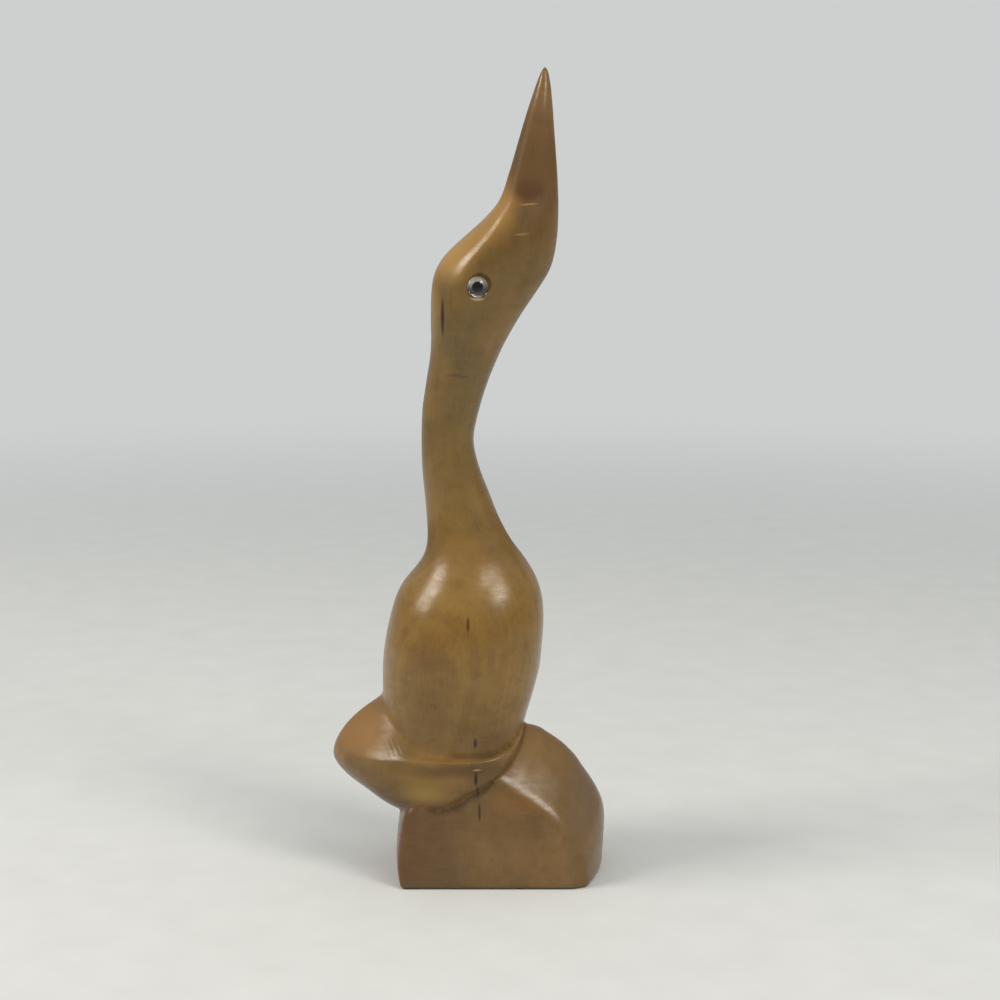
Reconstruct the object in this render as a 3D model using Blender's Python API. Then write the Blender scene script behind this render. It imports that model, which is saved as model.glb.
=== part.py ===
"""A bird carved from one block of wood, standing on a carved rock, with two set-in glass eyes.

The bird stretches its neck and points its beak at the sky. Its egg-shaped body stands on a tail
that is shaped like the hull of a boat, and that sits on the sloping left side of the rock. Bird
and rock are one solid. Each eye is a clear glass dome with a black pupil behind it, in a socket
drilled into the side of the head.

Metres, +Z up. The beak leans to +X and the tail points to -X. The block is sawn flat on its +Y
and -Y sides, and the plane Y = 0 cuts bird and rock in two like halves.
"""

import math
from typing import NamedTuple

import bmesh
import bpy
from mathutils import Matrix, Vector
from mathutils.bvhtree import BVHTree



class Ring(NamedTuple):
    """One ring round the bird, seen from above as two half ovals that meet at its widest place."""

    back: float  # X of its back end
    front: float
    widest: float
    half_depth: float  # along Y, at its widest place
    back_z: float
    side_z: float  # its height at its widest place
    front_z: float
    back_fullness: float  # 2 is an ellipse, less is more pointed and more is squarer
    front_fullness: float
    back_delay: float = 1  # how late it leaves the height of its sides towards an end
    front_delay: float = 1


SIDE_RIDGE = Ring(-0.0403, 0.0155, -0.0070, 0.0216, 0.0340, 0.0372, 0.0434, 1.85, 2.8, 2, 4)
BODY_FOOT = Ring(-0.0254, 0.0156, -0.0040, 0.0187, 0.0516, 0.0381, 0.0446, 2.1, 2.2, 3.2, 6)
KEEL_X = -0.0090
KEEL_HEIGHT = 0.0168
HULL_RINGS = 7
HULL_FULLNESS = (1.55, 5.0)  # of a cut through the hull, at its ends and across its sides
SIDE_KEEL_HEIGHT = 0.0205  # the lower edge of the hull's sides
SIDE_KEEL_RISE = 0.6  # how steeply that edge climbs towards the front
SIDE_KEEL_RISE_X = -0.0080  # where it starts to climb
DECK_RINGS = 4
TAIL_TIP_ROUNDING = 0.50  # of the deck's rise that stands straight up at the tail's tip

# The level rings above the foot of the body: height, back, front, widest place, half depth and
# the fullness of the back and front halves.
LEVEL_RINGS = [
    (0.0590, -0.0255, 0.0197, -0.0030, 0.0217, 2.1, 2.1),
    (0.0665, -0.0249, 0.0206, -0.0025, 0.0221, 2.1, 2.1),  # fullest part of the body
    (0.0740, -0.0234, 0.0211, -0.0015, 0.0215, 2.1, 2.1),
    (0.0805, -0.0216, 0.0207, -0.0008, 0.0198, 2.1, 2.1),
    (0.0850, -0.0194, 0.0195, -0.0002, 0.0177, 2.1, 2.1),
    (0.0885, -0.0164, 0.0178, 0.0004, 0.0157, 2.1, 2.1),  # shoulder
    (0.0925, -0.0136, 0.0153, 0.0004, 0.0136, 2.1, 2.1),
    (0.0970, -0.0123, 0.0119, -0.0004, 0.0117, 2.1, 2.1),
    (0.1030, -0.0124, 0.0086, -0.0020, 0.0101, 2.1, 2.1),
    (0.1105, -0.0130, 0.0056, -0.0038, 0.0089, 2.1, 2.1),
    (0.1190, -0.0137, 0.0024, -0.0056, 0.0081, 2.1, 2.1),
    (0.1265, -0.0138, 0.0010, -0.0062, 0.0078, 2.1, 2.1),  # thinnest part of the neck
    (0.1350, -0.0135, 0.0027, -0.0058, 0.0079, 2.1, 2.0),
    (0.1430, -0.0123, 0.0052, -0.0048, 0.0085, 2.1, 2.0),
    (0.1520, -0.0110, 0.0090, -0.0036, 0.0097, 2.1, 1.9),
    (0.1610, -0.0110, 0.0140, -0.0026, 0.0110, 2.1, 1.8),
    (0.1690, -0.0107, 0.0194, -0.0020, 0.0119, 1.8, 1.75),  # nape and cheeks, at the eyes
    (0.1740, -0.0096, 0.0224, -0.0002, 0.0120, 1.65, 1.8),
    (0.1785, -0.0068, 0.0238, 0.0028, 0.0116, 1.55, 2.0),
    (0.1835, -0.0014, 0.0245, 0.0068, 0.0108, 1.55, 2.2),
    (0.1890, 0.0047, 0.0248, 0.0104, 0.0095, 1.6, 2.4),  # brow
    (0.1935, 0.0084, 0.0248, 0.0130, 0.0083, 1.75, 2.5),
    (0.2000, 0.0107, 0.0245, 0.0146, 0.0070, 2.0, 2.6),  # root of the beak
    (0.2080, 0.0131, 0.0239, 0.0166, 0.0057, 2.0, 2.6),
    (0.2165, 0.0156, 0.0233, 0.0185, 0.0043, 2.0, 2.5),
    (0.2235, 0.0179, 0.0227, 0.0201, 0.0028, 2.0, 2.0),
    (0.2275, 0.0193, 0.0221, 0.0207, 0.0016, 2.0, 2.0),
    (0.2294, 0.0202, 0.0216, 0.0209, 0.0008, 2.0, 2.0),
]
BEAK_TIP_X = 0.0210
BEAK_TIP_HEIGHT = 0.2300
RING_SPACING = 0.0040
BIRD_SIDES = 44

# Rock: its outline from the left foot over the top to the right foot, along X and Z, at the
# middle of the block and on its flat faces, and how it turns from the one into the other:
# 1 is a straight slope, and more is rounder.
ROCK_HALF_DEPTH = 0.0214  # at the foot
ROCK_LEAN = 3.2  # how far the faces lean in: the share of the depth lost in each metre of height
ROCK_OUTLINE = [
    (-0.0185, 0.0000, -0.0190, 0.0000, 1.5),
    (-0.0199, 0.0013, -0.0202, 0.0013, 4.0),
    (-0.0213, 0.0065, -0.0205, 0.0065, 4.0),
    (-0.0211, 0.0140, -0.0196, 0.0140, 4.0),
    (-0.0197, 0.0212, -0.0178, 0.0212, 4.0),
    (-0.0165, 0.0262, -0.0148, 0.0228, 4.0),
    (-0.0110, 0.0300, -0.0105, 0.0236, 3.0),
    (-0.0050, 0.0335, -0.0055, 0.0250, 1.5),
    (0.0005, 0.0366, 0.0000, 0.0271, 1.5),
    (0.0055, 0.0394, 0.0038, 0.0296, 1.9),
    (0.0100, 0.0416, 0.0072, 0.0315, 2.4),
    (0.0150, 0.0430, 0.0095, 0.0304, 2.6),
    (0.0190, 0.0422, 0.0120, 0.0286, 2.4),
    (0.0228, 0.0400, 0.0156, 0.0262, 2.0),
    (0.0262, 0.0376, 0.0192, 0.0237, 1.7),
    (0.0297, 0.0342, 0.0229, 0.0212, 1.5),
    (0.0325, 0.0303, 0.0258, 0.0184, 1.6),
    (0.0349, 0.0268, 0.0275, 0.0155, 2.0),
    (0.0370, 0.0232, 0.0285, 0.0128, 2.5),
    (0.0385, 0.0195, 0.0291, 0.0105, 2.9),
    (0.0391, 0.0155, 0.0294, 0.0083, 3.3),
    (0.0389, 0.0100, 0.0297, 0.0055, 3.9),
    (0.0386, 0.0050, 0.0300, 0.0033, 4.4),
    (0.0382, 0.0011, 0.0299, 0.0010, 4.8),
    (0.0372, 0.0000, 0.0290, 0.0000, 4.8),
]
ROCK_STEPS = 2  # points from each outline row to the next
ROCK_SLICES = 11  # from the front face to the back face, without their rounded edges
ROCK_EDGE_RADIUS = 0.0012
ROCK_EDGE_SLICES = 3

# Eyes. Depths are measured from the wood, down into the head.
EYE_HEIGHT = 0.1700
EYE_SHARE = 0.404  # how far forward it is, from the back of the head to the front at that height
EYE_TURN = math.radians(14)  # how far an eye looks towards the beak
GLASS_RADIUS = 0.0030
GLASS_RIM_DEPTH = 0.0003
GLASS_BACK_DEPTH = 0.0017
GLASS_DOME = 0.0013  # how far the dome's top stands above its rim
PUPIL_RADIUS = 0.0012
PUPIL_THICKNESS = 0.0009
FIT_GAP = 0.0003  # round the glass, behind it, and round the pupil
EYE_SIDES = 28

MIDDLE_X = -0.0006  # of the length from the tail's tip to the rock's right side

WOOD = (0.36, 0.20, 0.075, 1.0)
GLASS = (0.80, 0.80, 0.76, 1.0)
PUPIL = (0.012, 0.012, 0.013, 1.0)


def clear_scene():
    for old in list(bpy.data.objects):
        bpy.data.objects.remove(old)


def material(name, colour, roughness):
    made = bpy.data.materials.new(name)
    made.use_nodes = True
    shader = made.node_tree.nodes["Principled BSDF"]
    shader.inputs["Base Color"].default_value = colour
    shader.inputs["Roughness"].default_value = roughness
    shader.inputs["Metallic"].default_value = 0.0
    made.diffuse_color = colour
    return made


def skin(name, rings, first_pole=None, last_pole=None):
    """A closed tube through rings of points, ended by poles or by flat caps."""
    shape = bmesh.new()
    loops = [[shape.verts.new(point) for point in ring] for ring in rings]
    sides = len(loops[0])
    for lower, upper in zip(loops, loops[1:]):
        for i in range(sides):
            j = (i + 1) % sides
            shape.faces.new((lower[i], lower[j], upper[j], upper[i]))
    for loop, pole in ((loops[0], first_pole), (loops[-1], last_pole)):
        if pole is None:
            shape.faces.new(loop)
            continue
        tip = shape.verts.new(pole)
        for i in range(sides):
            shape.faces.new((loop[i], loop[(i + 1) % sides], tip))
    bmesh.ops.recalc_face_normals(shape, faces=shape.faces)
    mesh = bpy.data.meshes.new(name)
    shape.to_mesh(mesh)
    shape.free()
    made = bpy.data.objects.new(name, mesh)
    bpy.context.scene.collection.objects.link(made)
    return made


def signed_power(value, power):
    return math.copysign(abs(value) ** power, value)


def ring_points(ring):
    """The points of one ring of the bird, anticlockwise from its front end."""
    points = []
    for i in range(BIRD_SIDES):
        turn = 2 * math.pi * i / BIRD_SIDES
        if math.cos(turn) >= 0:
            reach, end_z = ring.front - ring.widest, ring.front_z
            fullness, delay = ring.front_fullness, ring.front_delay
        else:
            reach, end_z = ring.widest - ring.back, ring.back_z
            fullness, delay = ring.back_fullness, ring.back_delay
        along = signed_power(math.cos(turn), 2 / fullness)
        across = signed_power(math.sin(turn), 2 / fullness)
        x = ring.widest + reach * along
        z = ring.side_z + (end_z - ring.side_z) * abs(along) ** delay
        points.append(Vector((x, ring.half_depth * across, z)))
    return points


def curve_slopes(knots, gaps):
    """How fast a smooth curve through the knots changes at each of them."""
    slopes = []
    for i in range(len(knots)):
        before = knots[max(i - 1, 0)]
        after = knots[min(i + 1, len(knots) - 1)]
        reach = sum(gaps[max(i - 1, 0) : i + 1])
        slopes.append([(b - a) / reach for a, b in zip(before, after)])
    return slopes


def curve_point(knots, slopes, gaps, i, t):
    """The knot that lies a share t of the way from knots[i] to knots[i + 1]."""
    read = []
    for j in range(len(knots[i])):
        read.append(
            knots[i][j] * (2 * t**3 - 3 * t**2 + 1)
            + slopes[i][j] * gaps[i] * (t**3 - 2 * t**2 + t)
            + knots[i + 1][j] * (3 * t**2 - 2 * t**3)
            + slopes[i + 1][j] * gaps[i] * (t**3 - t**2)
        )
    return read


def rings_between(knots, spacing):
    """Rings about one spacing apart on smooth curves through the given rings."""
    gaps = []
    for lower, upper in zip(knots, knots[1:]):
        gaps.append(sum((b - a).length for a, b in zip(lower, upper)) / len(lower))
    slopes = curve_slopes(knots, gaps)
    rings = []
    for i, gap in enumerate(gaps):
        steps = max(1, round(gap / spacing))
        for k in range(steps):
            rings.append(curve_point(knots, slopes, gaps, i, k / steps))
    rings.append(knots[-1])
    return rings


def hull_rings(ridge):
    """The hull's rings, from near the keel up to just under the side ridge."""
    ends, sides = HULL_FULLNESS
    rings = []
    for k in range(HULL_RINGS, 0, -1):
        dip = math.pi / 2 * k / (HULL_RINGS + 1)
        ring = []
        for i, point in enumerate(ridge):
            turn = 2 * math.pi * i / BIRD_SIDES
            fullness = ends + (sides - ends) * math.sin(turn) ** 4
            inward = math.cos(dip) ** (2 / fullness)
            down = math.sin(dip) ** (2 / fullness)
            side_keel = SIDE_KEEL_HEIGHT + max(0.0, point.x - SIDE_KEEL_RISE_X) * SIDE_KEEL_RISE
            sideways = abs(math.sin(turn)) ** (2 if math.cos(turn) >= 0 else 4)
            keel = KEEL_HEIGHT + (side_keel - KEEL_HEIGHT) * sideways
            x = KEEL_X + (point.x - KEEL_X) * inward
            z = point.z + (keel - point.z) * down
            ring.append(Vector((x, point.y * inward, z)))
        rings.append(ring)
    return rings


def deck_rings(ridge, foot):
    """The deck's rings, from above the side ridge to below the foot of the body.

    The deck is nearly flat along the sides and rolls over at the tail's tip.
    """
    rings = []
    for k in range(1, DECK_RINGS):
        t = k / DECK_RINGS
        ring = []
        for i, (low, high) in enumerate(zip(ridge, foot)):
            tailward = min(0.0, math.cos(2 * math.pi * i / BIRD_SIDES)) ** 2
            above = low + Vector((0, 0, (high.z - low.z) * TAIL_TIP_ROUNDING))
            bend = ((low + high) / 2).lerp(above, tailward)
            ring.append(low * (1 - t) ** 2 + bend * 2 * t * (1 - t) + high * t**2)
        rings.append(ring)
    return rings


def make_bird():
    """One loft from the keel of the tail to the tip of the beak."""
    ridge = ring_points(SIDE_RIDGE)
    foot = ring_points(BODY_FOOT)
    level = [foot]
    for z, back, front, widest, half_depth, back_fullness, front_fullness in LEVEL_RINGS:
        ring = Ring(back, front, widest, half_depth, z, z, z, back_fullness, front_fullness)
        level.append(ring_points(ring))
    rings = hull_rings(ridge) + [ridge] + deck_rings(ridge, foot)
    rings += rings_between(level, RING_SPACING)
    keel = Vector((KEEL_X, 0, KEEL_HEIGHT))
    tip = Vector((BEAK_TIP_X, 0, BEAK_TIP_HEIGHT))
    return skin("carved_bird", rings, first_pole=keel, last_pole=tip)


def rock_rows():
    """The rows of the rock's outline with more rows between them, on smooth curves."""
    gaps = [math.dist(a[:2], b[:2]) for a, b in zip(ROCK_OUTLINE, ROCK_OUTLINE[1:])]
    slopes = curve_slopes(ROCK_OUTLINE, gaps)
    rows = []
    for i in range(len(gaps)):
        for k in range(ROCK_STEPS):
            rows.append(curve_point(ROCK_OUTLINE, slopes, gaps, i, k / ROCK_STEPS))
    rows.append(ROCK_OUTLINE[-1])
    return rows


def inset(outline, depth):
    """The outline moved inwards, with its corners kept."""
    moved = []
    for i, point in enumerate(outline):
        before = (point - outline[i - 1]).normalized()
        after = (outline[(i + 1) % len(outline)] - point).normalized()
        outwards = Vector((-before.y - after.y, before.x + after.x))
        moved.append(point - outwards * depth / (1 + before.dot(after)))
    return moved


def rock_slice(rows, y, depth):
    """The rock's outline at a distance y from the middle, moved inwards by a depth."""
    outline = []
    for middle_x, middle_z, face_x, face_z, power in rows:
        share = (abs(y) / ROCK_HALF_DEPTH) ** power
        x = middle_x + (face_x - middle_x) * share
        z = middle_z + (face_z - middle_z) * share
        outline.append(Vector((x, max(0.0, z))))
    return [
        Vector((point.x, y * (1 - ROCK_LEAN * point.y), point.y))
        for point in inset(outline, depth)
    ]


def make_rock():
    rows = rock_rows()
    flat = ROCK_HALF_DEPTH - ROCK_EDGE_RADIUS
    places = []
    for i in range(ROCK_SLICES):
        places.append((flat * math.sin(math.pi * (i / (ROCK_SLICES - 1) - 0.5)), 0.0))
    for k in range(1, ROCK_EDGE_SLICES + 1):
        turn = math.pi / 2 * k / ROCK_EDGE_SLICES
        y = flat + ROCK_EDGE_RADIUS * math.sin(turn)
        depth = ROCK_EDGE_RADIUS * (1 - math.cos(turn))
        places.append((y, depth))
        places.insert(0, (-y, depth))
    return skin("rock_form", [rock_slice(rows, y, depth) for y, depth in places])


def shape_with(whole, tool, operation):
    """Joins the tool form to the whole or cuts it out of the whole."""
    tool.hide_render = True
    tool.display_type = "WIRE"
    change = whole.modifiers.new(tool.name, "BOOLEAN")
    change.operation = operation
    change.solver = "EXACT"
    change.object = tool


def turned(name, profile, place):
    """A solid turned about its own Z, from a profile of radii and heights.

    The profile starts and ends on the axis.
    """
    rings = []
    for radius, height in profile[1:-1]:
        ring = []
        for i in range(EYE_SIDES):
            turn = 2 * math.pi * i / EYE_SIDES
            ring.append(Vector((radius * math.cos(turn), radius * math.sin(turn), height)))
        rings.append(ring)
    low = Vector((0, 0, profile[0][1]))
    high = Vector((0, 0, profile[-1][1]))
    made = skin(name, rings, first_pole=low, last_pole=high)
    made.data.transform(place)
    return made


def eye_place(bird, side):
    """An eye's own frame: its origin is on the wood and its Z points out of the head."""
    graph = bpy.context.evaluated_depsgraph_get()
    skin_tree = BVHTree.FromObject(bird, graph)
    corners = [corner.co for corner in bird.data.vertices]
    level = [place.x for place in corners if abs(place.z - EYE_HEIGHT) < RING_SPACING]
    forward = min(level) + EYE_SHARE * (max(level) - min(level))
    start = Vector((forward, side * BEAK_TIP_HEIGHT, EYE_HEIGHT))
    on_wood = skin_tree.ray_cast(start, Vector((0, -side, 0)))[0]
    out = Vector((math.sin(EYE_TURN), side * math.cos(EYE_TURN), 0))
    across = Vector((0, 0, 1)).cross(out)
    turn = Matrix((across, out.cross(across), out)).transposed()
    return Matrix.Translation(on_wood) @ turn.to_4x4()


def glass_profile():
    """Flat at the back and a round dome in front."""
    profile = [(0, -GLASS_BACK_DEPTH), (GLASS_RADIUS, -GLASS_BACK_DEPTH)]
    steps = 6
    for k in range(steps):
        turn = math.pi / 2 * k / steps
        height = GLASS_DOME * math.sin(turn) - GLASS_RIM_DEPTH
        profile.append((GLASS_RADIUS * math.cos(turn), height))
    profile.append((0, GLASS_DOME - GLASS_RIM_DEPTH))
    return profile


def make_eye(bird, label, side, glass, black):
    place = eye_place(bird, side)
    dome = turned(label + "_eye_glass", glass_profile(), place)
    dome.data.materials.append(glass)
    dome.data.shade_smooth()
    dome.data.set_sharp_from_angle(angle=math.radians(40))

    pupil_top = -GLASS_BACK_DEPTH - FIT_GAP
    pupil_back = pupil_top - PUPIL_THICKNESS
    profile = [(0, pupil_back), (PUPIL_RADIUS, pupil_back), (PUPIL_RADIUS, pupil_top), (0, pupil_top)]
    pupil = turned(label + "_eye_pupil", profile, place)
    pupil.data.materials.append(black)
    pupil.data.shade_smooth()
    pupil.data.set_sharp_from_angle(angle=math.radians(40))

    narrow = PUPIL_RADIUS + FIT_GAP
    wide = GLASS_RADIUS + FIT_GAP
    mouth = 4 * GLASS_DOME
    profile = [(0, pupil_back), (narrow, pupil_back), (narrow, pupil_top), (wide, pupil_top)]
    profile += [(wide, mouth), (0, mouth)]
    return turned(label + "_socket", profile, place)


def main():
    clear_scene()
    wood = material("varnished_wood", WOOD, 0.32)
    glass = material("eye_glass", GLASS, 0.05)
    black = material("eye_pupil", PUPIL, 0.12)

    bird = make_bird()
    bird.data.materials.append(wood)
    sockets = [make_eye(bird, "right", -1, glass, black), make_eye(bird, "left", 1, glass, black)]
    shape_with(bird, make_rock(), "UNION")
    for socket in sockets:
        shape_with(bird, socket, "DIFFERENCE")
    bird.data.shade_smooth()
    bird.data.set_sharp_from_angle(angle=math.radians(35))
    for placed in bpy.data.objects:
        placed.data.transform(Matrix.Translation((-MIDDLE_X, 0, 0)))


main()
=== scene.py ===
# %% [markdown]
# # A carved wooden bird on its rock
#
# The figure is one block of fine, pale wood. A carver cut a long-necked bird that points its
# beak at the sky, standing on a tail shaped like a small boat, on a rock that leans to one
# side. The wood was varnished, and a small glass eye was set into each side of the head.
#
# The plain solids come in first. They fix the size and the place of everything, and the
# carved surface and the varnish are made here.

import math

import bmesh
import bpy
from mathutils import Matrix, Vector, noise


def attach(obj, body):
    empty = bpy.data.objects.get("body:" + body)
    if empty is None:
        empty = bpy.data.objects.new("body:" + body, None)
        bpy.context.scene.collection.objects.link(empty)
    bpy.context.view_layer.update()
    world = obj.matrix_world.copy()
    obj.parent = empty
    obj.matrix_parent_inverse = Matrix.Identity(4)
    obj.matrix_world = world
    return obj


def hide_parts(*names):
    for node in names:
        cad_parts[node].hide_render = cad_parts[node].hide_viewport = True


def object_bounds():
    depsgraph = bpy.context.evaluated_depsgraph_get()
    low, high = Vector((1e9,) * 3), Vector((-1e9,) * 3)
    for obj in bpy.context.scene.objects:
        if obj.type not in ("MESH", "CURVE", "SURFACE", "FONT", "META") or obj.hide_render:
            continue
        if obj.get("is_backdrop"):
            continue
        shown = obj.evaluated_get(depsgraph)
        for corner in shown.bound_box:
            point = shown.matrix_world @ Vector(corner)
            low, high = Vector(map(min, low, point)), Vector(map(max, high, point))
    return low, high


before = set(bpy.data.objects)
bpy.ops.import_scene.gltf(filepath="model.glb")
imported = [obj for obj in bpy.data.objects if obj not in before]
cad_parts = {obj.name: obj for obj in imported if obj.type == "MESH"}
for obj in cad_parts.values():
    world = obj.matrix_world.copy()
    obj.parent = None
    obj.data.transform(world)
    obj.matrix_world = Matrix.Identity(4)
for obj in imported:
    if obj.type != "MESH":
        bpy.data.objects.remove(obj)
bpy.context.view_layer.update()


# %% [markdown]
# ## Starting each piece with a clean selection
#
# The operators of Blender act on all that is selected, and the solids arrive selected. So each
# piece begins with everything deselected, and the next helpers keep the steps short.

# %% Selection helpers
def only(piece):
    """Makes one piece the selected and active one."""
    bpy.ops.object.select_all(action="DESELECT")
    piece.select_set(True)
    bpy.context.view_layer.objects.active = piece
    return piece


def apply_change(piece, kind, **settings):
    """Adds a modifier with its settings and applies it."""
    only(piece)
    change = piece.modifiers.new(kind.title(), kind)
    for name, value in settings.items():
        setattr(change, name, value)
    bpy.ops.object.modifier_apply(modifier=change.name)


def faces_of(piece):
    return len(piece.data.polygons)


# %% [markdown]
# ## How the bird was laid out
#
# A carver draws the bird on the block from the side and from above, and cuts towards those two
# lines. The layout here is the same: rings round the bird, from the keel of the tail to the tip
# of the beak. Each is two half ovals that meet at the widest place. The edge of the tail and the
# foot of the body aren't level, so their back, sides and front have heights of their own.

# %% The layout of the bird
SIDES = 72  # points round each ring
MIDDLE = 0.0006  # from the layout's own middle to the middle of the whole figure

# back, front, widest place, half depth, heights of back, sides and front, fullness of the back
# and front halves, and how late they leave the height of the sides
TAIL_EDGE = (-0.0403, 0.0155, -0.0070, 0.0216, 0.0340, 0.0372, 0.0434, 1.68, 2.8, 2, 4)
BODY_FOOT = (-0.0254, 0.0156, -0.0040, 0.0187, 0.0516, 0.0381, 0.0446, 2.1, 2.2, 2.4, 6)
KEEL = Vector((-0.0090, 0, 0.0168))
BEAK_TIP = Vector((0.0210, 0, 0.2300))

# height, back, front, widest place, half depth, fullness of the back and of the front half
LEVELS = [
    (0.0590, -0.0255, 0.0197, -0.0030, 0.0217, 2.1, 2.1),
    (0.0665, -0.0249, 0.0206, -0.0025, 0.0221, 2.1, 2.1),  # fullest part of the body
    (0.0740, -0.0234, 0.0211, -0.0015, 0.0214, 2.1, 2.1),
    (0.0805, -0.0216, 0.0207, -0.0008, 0.0197, 2.1, 2.1),
    (0.0850, -0.0194, 0.0195, -0.0002, 0.0176, 2.1, 2.1),
    (0.0885, -0.0164, 0.0178, 0.0004, 0.0154, 2.1, 2.1),  # shoulder
    (0.0925, -0.0136, 0.0153, 0.0004, 0.0128, 2.1, 2.1),
    (0.0970, -0.0123, 0.0119, -0.0004, 0.0104, 2.1, 2.1),
    (0.1030, -0.0124, 0.0086, -0.0020, 0.0091, 2.1, 2.1),
    (0.1105, -0.0130, 0.0056, -0.0038, 0.0084, 2.1, 2.1),
    (0.1190, -0.0137, 0.0024, -0.0056, 0.0081, 2.1, 2.1),
    (0.1265, -0.0138, 0.0010, -0.0062, 0.0078, 2.1, 2.1),  # thinnest part of the neck
    (0.1350, -0.0135, 0.0027, -0.0058, 0.0079, 2.1, 2.0),
    (0.1430, -0.0123, 0.0052, -0.0048, 0.0085, 2.1, 2.0),
    (0.1520, -0.0110, 0.0090, -0.0036, 0.0097, 2.1, 1.9),
    (0.1610, -0.0110, 0.0140, -0.0026, 0.0110, 2.1, 1.8),
    (0.1690, -0.0107, 0.0194, -0.0020, 0.0119, 1.8, 1.75),  # nape and cheeks, at the eyes
    (0.1740, -0.0096, 0.0224, -0.0002, 0.0120, 1.65, 1.8),
    (0.1785, -0.0068, 0.0238, 0.0028, 0.0116, 1.55, 2.0),
    (0.1835, -0.0014, 0.0245, 0.0068, 0.0108, 1.6, 2.1),
    (0.1890, 0.0047, 0.0248, 0.0104, 0.0095, 1.8, 2.2),  # brow
    (0.1935, 0.0084, 0.0248, 0.0130, 0.0083, 2.0, 2.2),
    (0.2000, 0.0107, 0.0245, 0.0146, 0.0070, 2.2, 2.3),  # root of the beak
    (0.2080, 0.0131, 0.0239, 0.0166, 0.0057, 2.3, 2.3),
    (0.2165, 0.0156, 0.0233, 0.0185, 0.0043, 2.2, 2.2),
    (0.2235, 0.0179, 0.0227, 0.0201, 0.0028, 2.0, 2.0),
    (0.2275, 0.0193, 0.0221, 0.0207, 0.0016, 2.0, 2.0),
    (0.2294, 0.0202, 0.0216, 0.0209, 0.0008, 2.0, 2.0),
]


def signed_power(value, power):
    return math.copysign(abs(value) ** power, value)


def ring_outline(back, front, widest, depth, back_z, side_z, front_z, *shape):
    """The points of one ring, anticlockwise from its front end."""
    back_fullness, front_fullness, back_delay, front_delay = shape
    points = []
    for i in range(SIDES):
        turn = 2 * math.pi * i / SIDES
        ahead = math.cos(turn) >= 0
        reach = front - widest if ahead else widest - back
        end_z = front_z if ahead else back_z
        fullness = front_fullness if ahead else back_fullness
        along = signed_power(math.cos(turn), 2 / fullness)
        across = signed_power(math.sin(turn), 2 / fullness)
        rise = (end_z - side_z) * abs(along) ** (front_delay if ahead else back_delay)
        points.append(Vector((widest + reach * along, depth * across, side_z + rise)))
    return points


tail_edge = ring_outline(*TAIL_EDGE)
body_foot = ring_outline(*BODY_FOOT)
print(len(LEVELS), "level rings above", len(body_foot), "points at the foot of the body")

# %% [markdown]
# ## From the layout to a fair surface
#
# A carver's eye joins the layout lines with one sweep of the gouge. A smooth curve through the
# same point of every ring does that here. The tail is rounded below its edge like the hull of a
# boat, and its top side runs nearly flat to the body and rolls over at the tip.

# %% Rings between the layout rings
HULL_RINGS = 10
HULL_FULLNESS = (1.55, 5.0)  # of a cut through the hull, at its ends and across its sides
SIDE_KEEL = 0.0205  # how low the hull's sides reach
BILGE_RISE = 0.6  # how steeply its lower edge climbs towards the front
DECK_RINGS = 7
TIP_ROLL = 0.50  # the share of the deck's rise that stands straight up at the tail's tip
RING_STEP = 0.0020


def hull_ring(dip):
    """A ring of the hull, lower and smaller as the dip grows towards a quarter turn."""
    ends, sides = HULL_FULLNESS
    ring = []
    for i, point in enumerate(tail_edge):
        turn = 2 * math.pi * i / SIDES
        fullness = ends + (sides - ends) * math.sin(turn) ** 4
        inward = math.cos(dip) ** (2 / fullness)
        down = math.sin(dip) ** (2 / fullness)
        bilge = SIDE_KEEL + max(0.0, point.x + 0.008) * BILGE_RISE
        keel_z = KEEL.z + (bilge - KEEL.z) * abs(math.sin(turn)) ** (4 if math.cos(turn) < 0 else 2)
        x = KEEL.x + (point.x - KEEL.x) * inward
        ring.append(Vector((x, point.y * inward, point.z + (keel_z - point.z) * down)))
    return ring


def deck_ring(t):
    """A ring of the tail's top side, a share t of the way from its edge to the body."""
    ring = []
    for i, (low, high) in enumerate(zip(tail_edge, body_foot)):
        turn = 2 * math.pi * i / SIDES
        rolled = max(min(0.0, math.cos(turn)) ** 4, math.sin(turn) ** 8)
        above = low + Vector((0, 0, (high.z - low.z) * TIP_ROLL))
        bend = ((low + high) / 2).lerp(above, rolled)
        ring.append(low * (1 - t) ** 2 + bend * 2 * t * (1 - t) + high * t**2)
    return ring


def smooth_between(knots, step):
    """Rows about one step apart, on smooth curves through the knot rows."""
    gaps = [sum(math.dist(p, q) for p, q in zip(a, b)) / len(a) for a, b in zip(knots, knots[1:])]
    slopes = []
    for i in range(len(knots)):
        before, after = knots[max(i - 1, 0)], knots[min(i + 1, len(knots) - 1)]
        reach = sum(gaps[max(i - 1, 0) : i + 1])
        slopes.append([[(q - p) / reach for p, q in zip(u, v)] for u, v in zip(before, after)])
    rows = []
    for i, gap in enumerate(gaps):
        count = max(1, round(gap / step))
        for k in range(count):
            t = k / count
            weights = (2 * t**3 - 3 * t**2 + 1, 3 * t**2 - 2 * t**3)
            pulls = (gap * (t**3 - 2 * t**2 + t), gap * (t**3 - t**2))
            row = []
            for j in range(len(knots[i])):
                ends = zip(knots[i][j], knots[i + 1][j], slopes[i][j], slopes[i + 1][j])
                row.append(
                    Vector(
                        weights[0] * a + weights[1] * b + pulls[0] * c + pulls[1] * d
                        for a, b, c, d in ends
                    )
                )
            rows.append(row)
    rows.append([Vector(point) for point in knots[-1]])
    return rows


level_rings = [body_foot]
for z, back, front, widest, depth, back_fullness, front_fullness in LEVELS:
    shape = (back_fullness, front_fullness, 1, 1)
    level_rings.append(ring_outline(back, front, widest, depth, z, z, z, *shape))

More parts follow.
